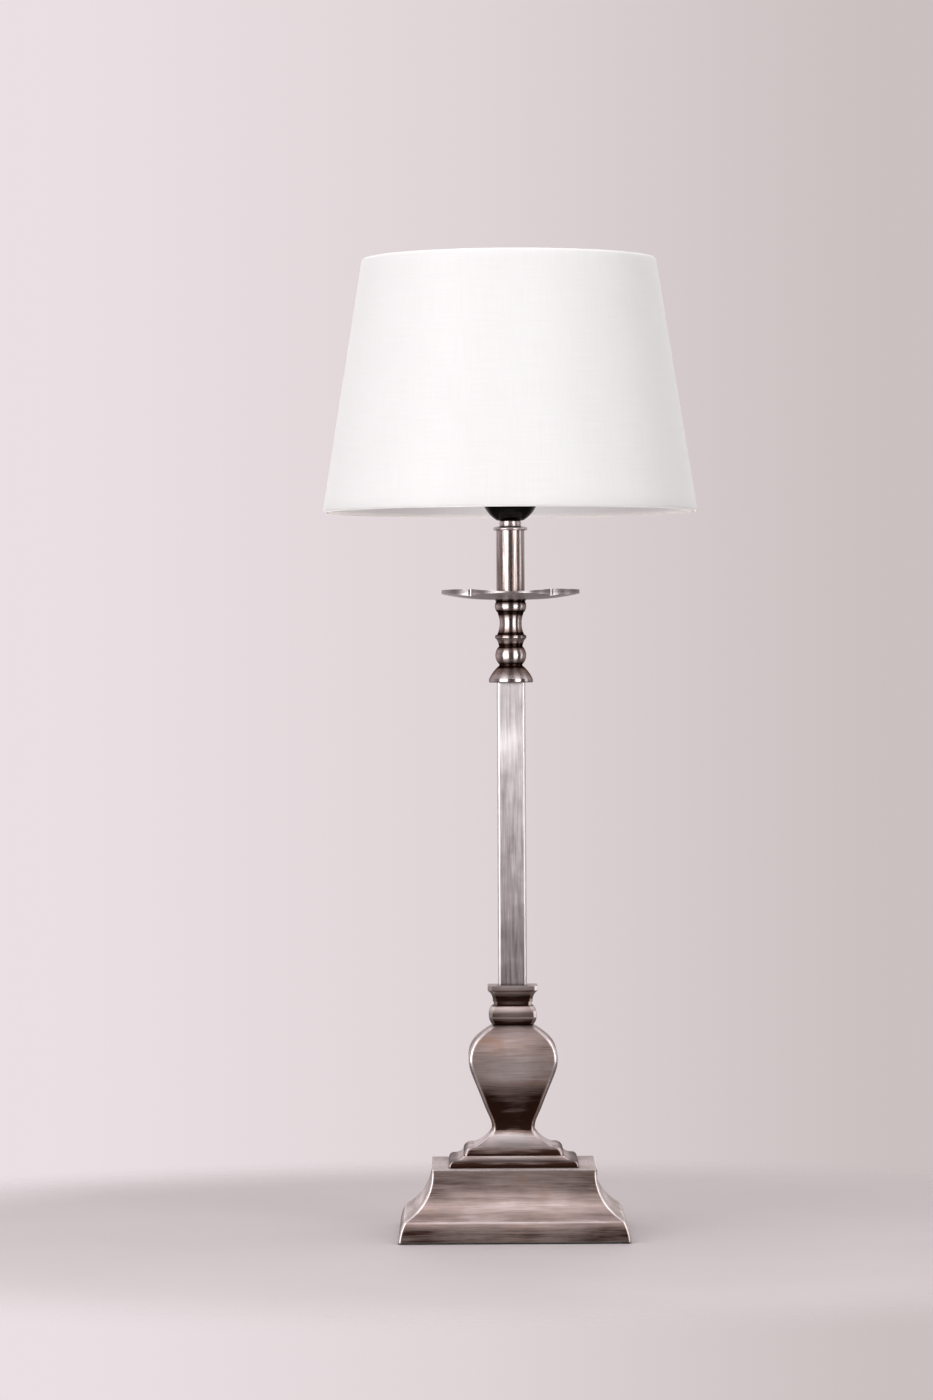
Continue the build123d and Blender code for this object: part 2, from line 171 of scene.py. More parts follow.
# Brush marks, first the fine and then the broad ones. Each pair is the noise's scale and the share
# of it that is left in the brushing's direction.
MARKS_ALONG = ((1.6, 0.02), (0.42, 0.06))
MARKS_ROUND = ((1.9, 0.028), (0.33, 0.09))
MARK_DETAIL, MARK_GRIT = 3.0, 0.6
MARK_DEPTH = 0.02
QUARTER_TURN = 0.25         # turns the stretched highlights from sideways to up and down
CLOUD_DETAIL = 3.0

# How the metal wears, and where painted shade darkens it. A pair is where an effect starts and
# where it is full.
WORN = (0.985, 0.90)        # cosine between the true normal and the rounded one
SHINING_EDGE = 0.6          # an edge's lit rounding, as a share of its wear
CREVICE = (0.7, 0.25)       # share of the surroundings that isn't hidden nearby: crevices get patina and painted shade
CREVICE_REACH = 4
BESIDE_CORNER = (0.15, 0.95)    # 0 in the middle of a square casting's face, 1 at its corner: painted shade grows towards it
RIDGE = (1.25, 0.5)         # distance from a corner, as a share of the ridge's width
NOT_LEVEL = (0.97, 0.90)    # upward part of the normal: level faces have no ridges
RIDGE_MARKS = (0.2, 0.6)    # broad noise that dulls a ridge
DULLEST_RIDGE = 0.6
DARKEST = (0.9, 1.0)        # patina and painted shade that is darkened once more
WORN_EDGE_SAMPLES, CREVICE_SAMPLES = 6, 6

# how much each effect adds to or takes away from the patina and painted shade
EXTRA_DARK, CREVICE_DARK, POLISH = 0.1, 0.8, 0.8
BROAD_STREAKS, FINE_STREAKS = 2, 1.6

# how much rougher the patina and the brush marks are, and how much smoother a polished edge is
PATINA_ROUGHNESS, MARK_ROUGHNESS, POLISH_SMOOTHNESS = 0.10, 0.10, 0.2

# copper that shows in patches of the half-dark patina
PATCH_SCALE, PATCH_FLATTENED, PATCH_DETAIL = 0.045, 1.6, 2.0
PATCH = (0.52, 0.70)
HALF_DARK_FROM, HALF_DARK_TO = (0.3, 0.5), (0.85, 0.65)


def brush_marks(n, x, y, z, from_axis):
    """Fine and broad noise, drawn out round the axis, or up and down if from_axis is None."""
    marks = []
    for scale, left in MARKS_ALONG if from_axis is None else MARKS_ROUND:
        if from_axis is None:
            drawn_out, w = n.vector(x, y, n.times(z, left)), None
        else:
            drawn_out = n.vector(n.times(x, left), n.times(y, left), z)
            w = n.times(from_axis, scale)
        marks.append(n.noise(drawn_out, scale, MARK_DETAIL, MARK_GRIT, w))
    return marks


def nickel(name, brushed, patina_and_shade, roughness, streaks=0.3, blotches=0.25, anisotropy=0.6,
           wander=0.0, ridge=0.0, reach=0.0, edge=0.5, cloud_scale=0.05, sides=0.0, rust=0.0,
           glance=WHITE, tones=WARM_TONES):
    """Antique nickel: bright metal rubbed through patina and painted shade, brushed one way.

    brushed is across for a square casting, along for a column, or round for a turned piece.
    patina_and_shade is (height, share) stops of patina, painted shade and painted highlights,
    and wander moves its bands up and down by so many millimetres.
    streaks and blotches are how strongly the brush marks and the clouds change it.
    ridge is how wide the polished corners look from the front. They start at the distance reach
    from the axis. edge is how far the wear of other edges reaches.
    sides is how much painted shade darkens a square casting's faces next to their corners, and rust
    is how strongly copper shows in patches. glance tints what is seen at a grazing angle.
    """
    material, n = new_material(name)
    x, y, z = n.place()
    from_axis = None
    if brushed == "across":
        from_axis = n.math("MAXIMUM", n.size(x), n.size(y))
    elif brushed == "round":
        from_axis = n.length(x, y)
    fine, broad = brush_marks(n, x, y, z, from_axis)
    cloud = n.noise(n.vector(x, y, z), cloud_scale, CLOUD_DETAIL)

    true_normal = n.add("NewGeometry").outputs["Normal"]
    wide_edges = n.rounded(edge, WORN_EDGE_SAMPLES)
    cosine = n.add("VectorMath", {0: wide_edges, 1: true_normal}, operation="DOT_PRODUCT")
    worn = n.remap(cosine.outputs["Value"], *WORN)
    # darker in crevices: patina kept in hollows, and painted shade where the surroundings are
    # hidden
    opening = n.add("AmbientOcclusion", {"Distance": CREVICE_REACH * MM}, samples=CREVICE_SAMPLES)
    crevice = n.remap(opening.outputs["AO"], *CREVICE)
    polish = worn
    shaded = 0.0
    # painted shade on a square casting's faces next to their corners
    if sides:
        nearer_middle = n.math("MINIMUM", n.size(x), n.size(y))
        beside = n.math("DIVIDE", nearer_middle, n.math("ADD", from_axis, 0.01))
        shaded = n.remap(beside, *BESIDE_CORNER, 0.0, sides, smooth=True)
    if ridge:
        off_corner = n.size(n.math("SUBTRACT", n.size(x), n.size(y)))
        outer, inner = RIDGE
        corner = n.remap(off_corner, ridge * inner, ridge * outer, 1.0, 0.0, smooth=True)
        upward = n.size(n.add("SeparateXYZ", {0: true_normal}).outputs[2])
        corner = n.times(corner, n.remap(upward, *NOT_LEVEL))
        if reach:
            corner = n.times(corner, n.math("GREATER_THAN", from_axis, reach))
        shine = n.remap(broad, *RIDGE_MARKS, DULLEST_RIDGE, 1.0)
        polish = n.math("MAXIMUM", worn, n.times(corner, shine))

    level = n.math("ADD", z, n.about_zero(cloud, 2 * wander)) if wander else z
    patina_and_shade_level = n.curve(level, patina_and_shade)
    share = n.total(
        patina_and_shade_level,
        n.remap(patina_and_shade_level, *DARKEST, 0.0, EXTRA_DARK),
        n.about_zero(broad, streaks * BROAD_STREAKS),
        n.about_zero(fine, streaks * FINE_STREAKS),
        n.about_zero(cloud, blotches),
        n.times(crevice, CREVICE_DARK),
        shaded,
        n.times(polish, -POLISH))
    share = n.math("ADD", share, 0.0, clamp=True)
    rubbed, tarnished, darkened = tones
    colour = n.colours(share, ((0.0, rubbed), (0.5, tarnished), (1.0, darkened)))
    if rust:
        patches = n.noise(n.vector(x, y, n.times(z, PATCH_FLATTENED)), PATCH_SCALE, PATCH_DETAIL)
        half_dark = n.times(n.remap(share, *HALF_DARK_FROM), n.remap(share, *HALF_DARK_TO))
        copper = n.times(n.remap(patches, *PATCH, 0.0, rust, smooth=True), half_dark)
        colour = n.mix(copper, colour, RUST)
    n.surface(
        Base_Color=colour, Metallic=1.0, Specular_Tint=glance,
        Roughness=n.total(
            n.times(share, PATINA_ROUGHNESS), n.times(fine, MARK_ROUGHNESS),
            n.times(polish, -POLISH_SMOOTHNESS), roughness - MARK_ROUGHNESS / 2),
        Anisotropic=anisotropy,
        Anisotropic_Rotation=0.0 if brushed == "along" else QUARTER_TURN,
        Tangent=n.add("Tangent", direction_type="RADIAL", axis="Z").outputs[0],
        Normal=n.bump(fine, MARK_DEPTH, n.rounded(SHINING_EDGE * edge)))
    return material


# ---- other finishes ----------------------------------------------------------------------------
# what one noise, and two added together, mostly stay within
ONE_NOISE, TWO_NOISES = (0.3, 0.7), (0.75, 1.3)

METAL_EDGE, MOULDED_EDGE = 0.25, 0.3    # radius of the edges' lit rounding
METAL_CLOUD, METAL_SCRATCH = 0.18, 0.9  # noise scales
SCRATCH_FLATTENED, SCRATCH_SHARE = 6.0, 0.5
DULL_PLACES = (0.3, 0.75)
DULL_ROUGHNESS = 0.2
SCRATCH_DEPTH = 0.02


def metal(name, colour, dull, roughness=0.3):
    """Plain plated or bare metal, a little dull and scratched in places."""
    material, n = new_material(name)
    x, y, z = n.place()
    cloud = n.noise(n.vector(x, y, z), METAL_CLOUD, detail=4.0, roughness=0.6)
    flattened = n.vector(x, y, n.times(z, SCRATCH_FLATTENED))
    scratch = n.noise(flattened, METAL_SCRATCH, detail=4.0, roughness=0.7)
    share = n.remap(n.total(cloud, n.about_zero(scratch, SCRATCH_SHARE)), *DULL_PLACES)
    n.surface(
        Base_Color=n.mix(share, colour, dull), Metallic=1.0,
        Roughness=n.math("ADD", n.times(share, DULL_ROUGHNESS), roughness),
        Normal=n.bump(scratch, SCRATCH_DEPTH, n.rounded(METAL_EDGE)))
    return material


MOULDED_CLOUD = 0.12        # noise scale
SPECKS = (0.35, 0.65)
UNEVEN_GLOSS = 0.12
GLAZE_ROUGHNESS = 0.08


def moulded(name, colour, roughness, coat=0.0, relief=0.01, grain=2.0, specks=0.12, specular=0.5):
    """Moulded plastic, paint, glass or glazed ceramic with a faint ripple and uneven gloss.

    relief and grain are the ripple's depth and noise scale, and specks is how much darker the
    colour is in places.
    """
    material, n = new_material(name)
    x, y, z = n.place()
    ripple = n.noise(n.vector(x, y, z), grain, detail=3.0)
    cloud = n.noise(n.vector(x, y, z), MOULDED_CLOUD, detail=3.0)
    darker = tuple(c * (1 - specks) for c in colour)
    n.surface(
        Base_Color=n.mix(n.remap(cloud, *SPECKS), colour, darker),
        Roughness=n.math("ADD", n.times(cloud, UNEVEN_GLOSS), roughness - UNEVEN_GLOSS / 2),
        Coat_Weight=coat, Coat_Roughness=GLAZE_ROUGHNESS, Specular_IOR_Level=specular,
        Normal=n.bump(ripple, relief, n.rounded(MOULDED_EDGE)))
    return material


THREAD_PITCH = 0.52
WEAVE_RADIUS = 111.0        # the thread pitch round the shade is true at this radius
WEAVE_RELIEF = 0.35         # of the threads, next to that of the slubs
SLUB_ACROSS, SLUB_LENGTHWISE = (1.4, 1.5), (0.035, 0.03)    # noise scales of warp and weft slubs
WEFT_SEED = 7.0             # keeps the weft's slubs unlike the warp's
FOLD_SCALE = 0.012
FABRIC_PALE, FABRIC_DEEP = (0.93, 0.914, 0.918), (0.88, 0.852, 0.856)
SLUB_TONE, FOLD_TONE = 0.6, 0.3         # how far each can go from pale to deep
FABRIC_RELIEF = 0.06
GLOW_DEPTH = 0.01           # metres that light spreads inside cloth, lining and frosted glass


def shade_fabric():
    """Off-white slub cotton: a plain weave round and along the cone, with thicker threads."""
    material, n = new_material("shade_fabric")
    x, y, z = n.place()
    turn = n.math("ARCTAN2", x, n.times(y, -1.0))
    around = n.times(turn, WEAVE_RADIUS)
    threads = 2 * math.pi / THREAD_PITCH        # radians per millimetre
    warp = n.math("SINE", n.times(around, threads))
    weft = n.math("SINE", n.times(z, threads))
    weave = n.times(warp, weft)
    warp_across, weft_across = SLUB_ACROSS
    warp_lengthwise, weft_lengthwise = SLUB_LENGTHWISE
    warp_slub = n.noise(n.vector(n.times(around, warp_across), n.times(z, warp_lengthwise), 0.0))
    weft_slub = n.noise(
        n.vector(n.times(around, weft_lengthwise), n.times(z, weft_across), WEFT_SEED))
    slub = n.math("ADD", warp_slub, weft_slub)
    height = n.total(n.times(weave, WEAVE_RELIEF), slub)
    fold = n.noise(n.vector(x, y, z), FOLD_SCALE)
    slub_tone = n.remap(slub, *TWO_NOISES, 0.0, SLUB_TONE)
    fold_tone = n.remap(fold, *ONE_NOISE, 0.0, FOLD_TONE)
    tone = n.math("ADD", slub_tone, fold_tone, clamp=True)
    n.surface(
        Base_Color=n.mix(tone, FABRIC_PALE, FABRIC_DEEP),
        Roughness=0.85, Specular_IOR_Level=0.25, Sheen_Weight=0.15, Sheen_Roughness=0.5,
        Subsurface_Weight=0.35, Subsurface_Radius=(1.0, 0.95, 0.9), Subsurface_Scale=GLOW_DEPTH,
        Normal=n.bump(height, FABRIC_RELIEF))
    return material


LINING_PALE, LINING_DEEP = (0.90, 0.885, 0.875), (0.84, 0.815, 0.80)
PEEL_SCALE, PEEL_DEPTH = 0.5, 0.05
LINING_CLOUD = 0.02


def lining_film():
    """White styrene lining with a faint orange peel."""
    material, n = new_material("shade_lining")
    x, y, z = n.place()
    peel = n.noise(n.vector(x, y, z), PEEL_SCALE)
    cloud = n.noise(n.vector(x, y, z), LINING_CLOUD, detail=3.0)
    n.surface(
        Base_Color=n.mix(n.remap(cloud, *ONE_NOISE), LINING_PALE, LINING_DEEP),
        Roughness=n.remap(cloud, *ONE_NOISE, 0.38, 0.5),
        Subsurface_Weight=0.35, Subsurface_Radius=(1.0, 0.92, 0.85), Subsurface_Scale=GLOW_DEPTH,
        Normal=n.bump(peel, PEEL_DEPTH))
    return material


FELT_DARK, FELT_LIGHT = (0.012, 0.030, 0.018), (0.035, 0.070, 0.042)
FIBRE_SCALE, FIBRE_FLATTENED, FIBRE_DEPTH = 2.4, 3.0, 0.25
MAT_SCALE = 0.25


def felt():
    """Green felt: short fibres matted in clumps."""
    material, n = new_material("green_felt")
    x, y, z = n.place()
    flattened = n.vector(x, y, n.times(z, FIBRE_FLATTENED))
    fibre = n.noise(flattened, FIBRE_SCALE, detail=6.0, roughness=0.75)
    mat = n.noise(n.vector(x, y, z), MAT_SCALE, detail=3.0)
    n.surface(
        Base_Color=n.mix(n.remap(n.total(fibre, mat), *TWO_NOISES), FELT_DARK, FELT_LIGHT),
        Roughness=0.95, Specular_IOR_Level=0.1, Sheen_Weight=0.35, Sheen_Roughness=0.6,
        Normal=n.bump(fibre, FIBRE_DEPTH))
    return material


FROST_PALE, FROST_DEEP = (0.93, 0.93, 0.92), (0.87, 0.87, 0.86)
FROST_SCALE, FROST_DEPTH = 1.2, 0.01


def frosted_glass():
    """The bulb's glass, white from inside."""
    material, n = new_material("frosted_glass")
    x, y, z = n.place()
    frost = n.noise(n.vector(x, y, z), FROST_SCALE, detail=4.0, roughness=0.7)
    n.surface(
        Base_Color=n.mix(n.remap(frost, *ONE_NOISE), FROST_PALE, FROST_DEEP),
        Roughness=n.remap(frost, *ONE_NOISE, 0.22, 0.34), Coat_Weight=0.4, Coat_Roughness=0.1,
        Subsurface_Weight=0.4, Subsurface_Radius=WHITE, Subsurface_Scale=GLOW_DEPTH,
        Normal=n.bump(frost, FROST_DEPTH))
    return material


# ---- finishes of the CAD nodes -----------------------------------------------------------------
# (height, share) stops of the patina and painted shade, with 0 for bright metal and 1 for the
# darkest
# painted shade on faces that turn down, at the waist and in grooves, and painted highlights on
# crests
PLINTH_PATINA_AND_SHADE = (
    (0, 0.88), (1.5, 0.8), (3.5, 0.78), (6, 0.8), (9, 0.76), (12.8, 0.56), (13.5, 0.36),
    (14.6, 0.32), (15.4, 0.46), (18, 0.55), (20.5, 0.46), (23.5, 0.38), (27, 0.51), (28.3, 0.6),
    (30, 0.56), (33, 0.66), (37.7, 0.72), (43, 0.64), (46.0, 0.56), (46.6, 0.2), (48, 0.2))
STEP_PATINA_AND_SHADE = (
    (46, 1.0), (47.2, 1.0), (48, 0.96), (50, 0.91), (51.3, 0.78), (52.0, 0.3), (54.1, 0.25),
    (55, 0.25))
BALUSTER_PATINA_AND_SHADE = (
    (54, 1.0), (55.2, 0.94), (58.0, 0.87), (59.3, 0.4), (59.9, 0.05), (63, 0.0), (66.5, 0.06),
    (68, 0.35), (70.5, 0.9), (73, 1.0), (84, 0.97), (88, 0.93), (92, 0.86), (94.6, 0.82),
    (97, 0.75), (100, 0.6), (102.6, 0.38), (105, 0.27), (108, 0.2), (110.6, 0.24), (113, 0.3),
    (116, 0.42), (118.5, 0.5), (123.8, 0.56), (126.5, 0.63), (129, 0.53), (131.8, 0.46),
    (134, 0.4), (138.5, 0.42), (140, 0.6))
COLLAR_PATINA_AND_SHADE = (
    (139, 1.0), (141.5, 0.95), (143.5, 0.7), (144.5, 0.2), (145.4, 0.7), (147, 0.7), (148.6, 0.48),
    (150.5, 0.32), (151.8, 0.26), (152.1, 1.0), (154.2, 0.85), (155.0, 0.9), (155.5, 1.0),
    (158.0, 1.0), (159.5, 0.8), (160.5, 0.45), (161.2, 0.3), (162, 0.5), (162.4, 0.9), (163, 0.5),
    (165, 0.35), (165.6, 0.3))
# the column is darker towards its foot
COLUMN_TONE_BY_HEIGHT = (
    (165, 0.80), (175, 0.74), (189, 0.70), (220, 0.56), (256, 0.45), (280, 0.40), (303, 0.36),
    (318, 0.2), (328, 0.08), (338, 0.2), (350, 0.32), (368, 0.28))
# the knop's crests carry painted highlights and its grooves painted shade
KNOP_PATINA_AND_SHADE = (
    (367, 0.35), (368.5, 0.15), (372, 0.28), (375.5, 0.5), (377.2, 1.0), (379.8, 1.0),
    (381.2, 0.5), (385, 0.12), (389, 0.4), (390.6, 1.0), (393.0, 1.0), (394.2, 0.45), (396, 0.2),
    (398, 0.5), (398.8, 1.0), (400.2, 1.0), (401.6, 0.5), (405, 0.25), (411, 0.35), (412.6, 1.0),
    (414.8, 1.0), (416.0, 0.35), (418, 0.12), (420, 0.5), (420.9, 1.0), (422.2, 0.9), (423, 0.6))
PAN_PATINA_AND_SHADE = ((422, 0.5), (424, 0.22), (426, 0.22), (427.2, 0.42), (430, 0.42))
SLEEVE_PATINA = ((423, 0.55), (430, 0.42), (460, 0.38), (469, 0.28))
CAP_PATINA = ((464, 0.02), (471, 0.0))
NECK_PATINA = ((470, 0.1), (476, 0.0))

PAN_NOTCH = 36.0            # the notches in the drip pan's rim start this far from the axis
KNOP_GLANCE = (0.30, 0.24, 0.21)

zinc = metal("zinc_steel", (0.62, 0.62, 0.60), (0.42, 0.42, 0.40))
brass = metal("brass", (0.80, 0.58, 0.28), (0.52, 0.36, 0.17), 0.25)
wire_paint = moulded("white_wire", (0.86, 0.85, 0.84), 0.4, relief=0.03, grain=0.8)
black = moulded(
    "black_bakelite", (0.002, 0.0015, 0.0015), 0.06, relief=0.002, grain=0.5, specks=0.3,
    specular=0.2)
fabric = shade_fabric()

MATERIALS = {
    "plinth_shell": nickel(
        "plinth_nickel", "across", PLINTH_PATINA_AND_SHADE, roughness=0.46, anisotropy=0.3, streaks=0.25,
        wander=1.2, ridge=1.8, edge=1.3, sides=0.14, rust=0.35),
    "lower_step": nickel(
        "step_nickel", "across", STEP_PATINA_AND_SHADE, roughness=0.4, anisotropy=0.3, wander=0.4, ridge=1.2,
        edge=0.7, sides=0.15),
    "baluster": nickel(
        "baluster_nickel", "across", BALUSTER_PATINA_AND_SHADE, roughness=0.46, anisotropy=0.3, wander=1.5,
        ridge=2.6, edge=0.7, sides=0.16, rust=0.6),
    "collar": nickel(
        "collar_nickel", "across", COLLAR_PATINA_AND_SHADE, roughness=0.36, anisotropy=0.3, wander=0.3,
        ridge=2.2, edge=0.3, sides=0.15),
    "column_tube": nickel(
        "column_nickel", "along", COLUMN_TONE_BY_HEIGHT, roughness=0.46, anisotropy=0.9, ridge=1.6,
        blotches=0.4, cloud_scale=0.08, tones=COOL_TONES),
    "knop": nickel(
        "knop_nickel", "round", KNOP_PATINA_AND_SHADE, roughness=0.24, blotches=0.2, anisotropy=0.9,
        edge=0.15, glance=KNOP_GLANCE),
    "drip_pan": nickel(
        "pan_nickel", "round", PAN_PATINA_AND_SHADE, roughness=0.4, ridge=1.3, reach=PAN_NOTCH, edge=0.3,
        tones=COOL_TONES),
    "candle_sleeve": nickel(
        "sleeve_nickel", "along", SLEEVE_PATINA, roughness=0.17, streaks=0.7, blotches=0.15,
        anisotropy=0.3),
    "sleeve_cap": nickel("cap_nickel", "round", CAP_PATINA, roughness=0.32, streaks=0.15),
    "neck_nut": nickel("neck_nickel", "round", NECK_PATINA, roughness=0.26, streaks=0.1),
    "felt_pad": felt(),
    "base_plate": metal("painted_plate", (0.10, 0.10, 0.10), (0.05, 0.05, 0.05), 0.5),
    "base_screws": zinc, "rod_nut": zinc, "rod_washer": zinc, "threaded_rod": zinc,
    "column_plugs": zinc, "sleeve_seat": zinc,
    "inlet_bush": moulded("black_nylon", (0.02, 0.02, 0.02), 0.45, relief=0.02),
    "ballast_block": metal("iron", (0.20, 0.18, 0.17), (0.10, 0.07, 0.05), 0.55),
    "lampholder_dome": black, "lampholder_skirt": black, "shade_ring": black,
    "entry_bush": brass, "terminal_screws": brass, "centre_contact": brass, "side_contact": brass,
    "ceramic_core": moulded("ceramic", (0.82, 0.80, 0.76), 0.3, coat=0.5),
    "screw_shell": metal("shell_metal", (0.72, 0.70, 0.66), (0.5, 0.47, 0.43), 0.22),
    "bulb_contact": metal("solder", (0.55, 0.55, 0.56), (0.38, 0.38, 0.39), 0.35),
    "bulb_insulator": moulded("black_glass", (0.01, 0.01, 0.012), 0.1),
    "bulb_cap": metal("cap_metal", (0.78, 0.77, 0.74), (0.58, 0.56, 0.52), 0.22),
    "bulb_glass": frosted_glass(),
    "shade_cover": fabric, "top_hem": fabric, "bottom_hem": fabric,
    "shade_lining": lining_film(),
    "top_wire_ring": wire_paint, "bottom_wire_ring": wire_paint, "shade_arms": wire_paint,
    "gallery_ring": wire_paint,
}
for node, material in MATERIALS.items():
    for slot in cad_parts[node].material_slots:
        slot.material = material


# ---- pieces made here --------------------------------------------------------------------------
def mesh_piece(name, vertices, faces, material):
    """A smooth mesh from points in millimetres."""
    mesh = bpy.data.meshes.new(name)
    mesh.from_pydata([(x * MM, y * MM, z * MM) for x, y, z in vertices], [], faces)
    mesh.validate()
    mesh.shade_smooth()
    mesh.materials.append(material)
    piece = bpy.data.objects.new(name, mesh)
    bpy.context.scene.collection.objects.link(piece)
    return piece


def lathe(name, section, material, steps):
    """A turned surface. section(angle) gives the (radius, height) points of its closed outline.

    The angle is in radians, and 0 is the back.
    """
    vertices, faces = [], []
    for step in range(steps):
        angle = 2 * math.pi * step / steps
        points = section(angle)
        vertices += [(r * math.sin(angle), r * math.cos(angle), z) for r, z in points]
    count = len(points)
    for step in range(steps):
        here, there = step * count, (step + 1) % steps * count
        for i in range(count):
            j = (i + 1) % count
            faces.append((here + i, there + i, there + j, here + j))
    return mesh_piece(name, vertices, faces, material)


def arc(centre, radius, start, end, steps):
    """(radius, height) points of an arc, angles in degrees, 0 outwards and 90 up."""
    points = []
    for step in range(steps + 1):
        angle = math.radians(start + (end - start) * step / steps)
        points.append((centre[0] + radius * math.cos(angle), centre[1] + radius * math.sin(angle)))
    return points


def between(a, b, steps):
    """Points after a up to b on a straight line."""
    return [(a[0] + (b[0] - a[0]) * i / steps, a[1] + (b[1] - a[1]) * i / steps)
            for i in range(1, steps + 1)]


# ---- shade -------------------------------------------------------------------------------------
SHADE_BOTTOM, SHADE_TOP = 480.8, 649.7
SHADE_BOTTOM_RADIUS, SHADE_TOP_RADIUS = 125.0, 98.0
SLOPE = (SHADE_BOTTOM_RADIUS - SHADE_TOP_RADIUS) / (SHADE_TOP - SHADE_BOTTOM)
LEAN = math.degrees(math.atan(SLOPE))
CLOTH_STEPS = 384
RIM = 2.0                   # the fabric turns round the wire with this radius
RIM_TURN, RIM_STEPS = 100, 7            # degrees from the outside to the inner end of the turn
COVER_ROWS = 30
COVER_THICKNESS = 0.6
COVER_CLEARANCE = 0.05
LAP_WIDTH, LAP_THICKNESS = 9, 0.45
LAP_RADIUS = 110            # the lap's width is true at this radius

HEM_RING_DEPTH = 3.1        # the wire ring's centre, in from the cone
HEM_REACH = 6.5             # the hem ends this far from the ring's centre
HEM_LINING_DEPTH = 1.75     # its face lies this deep in the cone
HEM_TURN, HEM_STEPS, HEM_ROWS = 215, 12, 5
HEM_THICKNESS = 0.5
HEM_CLEARANCE = 0.05

# (depth, number all round, start in radians)
COVER_WAVES = ((0.08, 5, 1), (0.05, 11, 0))
HEM_WAVES = ((0.12, 7, 0), (0.08, 17, 2))


def shade_radius(height, depth=0.0):
    return SHADE_BOTTOM_RADIUS - SLOPE * (height - SHADE_BOTTOM) - depth


def wavy(angle, waves):
    return sum(depth * math.sin(number * angle + start) for depth, number, start in waves)


def lap(angle):
    """Extra thickness of the lap seam at the back: full over half its width, then a soft step."""
    offset = (angle + math.pi) % (2 * math.pi) - math.pi
    share = 1.5 - abs(offset) * LAP_RADIUS / (LAP_WIDTH / 2)
    return LAP_THICKNESS * max(0.0, min(1.0, share))


def cover_side(out):
    """One side of the fabric: round the bottom rim, up the cone and round the top rim."""
    low, high = SHADE_BOTTOM + RIM + COVER_CLEARANCE, SHADE_TOP - RIM - COVER_CLEARANCE
    bottom = arc((shade_radius(low, RIM), low), RIM + out, -RIM_TURN, -LEAN, RIM_STEPS)
    top = arc((shade_radius(high, RIM), high), RIM + out, LEAN, RIM_TURN, RIM_STEPS)
    return bottom + between(bottom[-1], top[0], COVER_ROWS) + top[1:]


def cover_section(angle):
    """The fabric's outside with its faint waves and its lap seam, and its inside."""
    outside = cover_side(wavy(angle, COVER_WAVES) + lap(angle))
    inside = cover_side(-COVER_THICKNESS)
    return outside + inside[::-1]


def hem_section(height, up):
    """Turned-in edge: from the rim round the wire's inner side, then flat on the lining."""

    def section(angle):
        wave = wavy(angle, HEM_WAVES)
        centre = (shade_radius(height, HEM_RING_DEPTH), height)
        end = height + up * (HEM_REACH + 2 * wave)
        lining = shade_radius(end, HEM_LINING_DEPTH)
        outer = arc(centre, RIM - HEM_CLEARANCE + wave * 0.3, -RIM_TURN * up, -HEM_TURN * up,
                    HEM_STEPS)
        face = between(outer[-1], (lining, end), HEM_ROWS)
        back = arc(centre, RIM - HEM_THICKNESS, -HEM_TURN * up, -RIM_TURN * up, HEM_STEPS)
        return outer + face + [(lining + HEM_CLEARANCE, end)] + back

    return section


cover = lathe("cloth_cover", cover_section, fabric, CLOTH_STEPS)
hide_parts("shade_cover")
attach(cover, "shade")

HEM_INSET = 2.1             # a hem's ring is this far in from the shade's edge
hems = []
for name, height, up, node in (
        ("cloth_bottom_hem", SHADE_BOTTOM + HEM_INSET, 1, "bottom_hem"),
        ("cloth_top_hem", SHADE_TOP - HEM_INSET, -1, "top_hem")):
    piece = lathe(name, hem_section(height, up), fabric, CLOTH_STEPS)
    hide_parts(node)
    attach(piece, "shade")
    hems.append(piece)


# ---- screw threads -----------------------------------------------------------------------------
TURNED_STEPS = 128
ROWS_A_TURN = 14
WAVE_STRETCH, WAVE_SHIFT = 1.35, 0.15   # they make a thread's crest and root flat


def threaded_wall(name, material, bottom, top, crest, root, pitch, inner, rounded):
    """A tube wall with an outer helical thread that fades in at both ends."""
    rows = int((top - bottom) / pitch * ROWS_A_TURN)

    def section(angle):
        points = []
        for row in range(rows + 1):
            z = bottom + (top - bottom) * row / rows
            phase = (z / pitch - angle / (2 * math.pi)) % 1
            wave = 0.5 + 0.5 * math.cos(2 * math.pi * phase)
            if not rounded:
                wave = min(1.0, max(0.0, WAVE_STRETCH * wave - WAVE_SHIFT))
            fade = min(1.0, (z - bottom) / pitch, (top - z) / pitch)
            points.append((root + (crest - root) * wave * fade, z))
        return points + [(inner, top), (inner, bottom)]

    return lathe(name, section, material, TURNED_STEPS)


def same_all_round(points):
    return lambda angle: points


cap_wall = threaded_wall(
    "bulb_thread", MATERIALS["bulb_cap"], bottom=510.8, top=529.6, crest=13.05, root=12.0,
    pitch=3.63, inner=11.5, rounded=True)
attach(cap_wall, "bulb")

CAP_END = (
    (10.6, 509.0), (11.3, 509.2), (12.0, 510.0), (12.0, 511.0), (11.5, 511.0), (11.5, 510.2),
    (10.6, 509.8))
CAP_COLLAR = (
    (11.5, 529.2), (12.0, 529.2), (12.3, 529.8), (13.2, 531.0), (12.9, 531.0), (11.9, 530.0),
    (11.5, 529.9))
for name, outline in (("bulb_cap_end", CAP_END), ("bulb_cap_collar", CAP_COLLAR)):
    piece = lathe(name, same_all_round(outline), MATERIALS["bulb_cap"], TURNED_STEPS)
    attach(piece, "bulb")
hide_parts("bulb_cap")

barrel = threaded_wall(
    "barrel_thread", black, bottom=503.5, top=528.6, crest=19.45, root=18.7, pitch=2.5,
    inner=16.0, rounded=False)
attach(barrel, "stand")

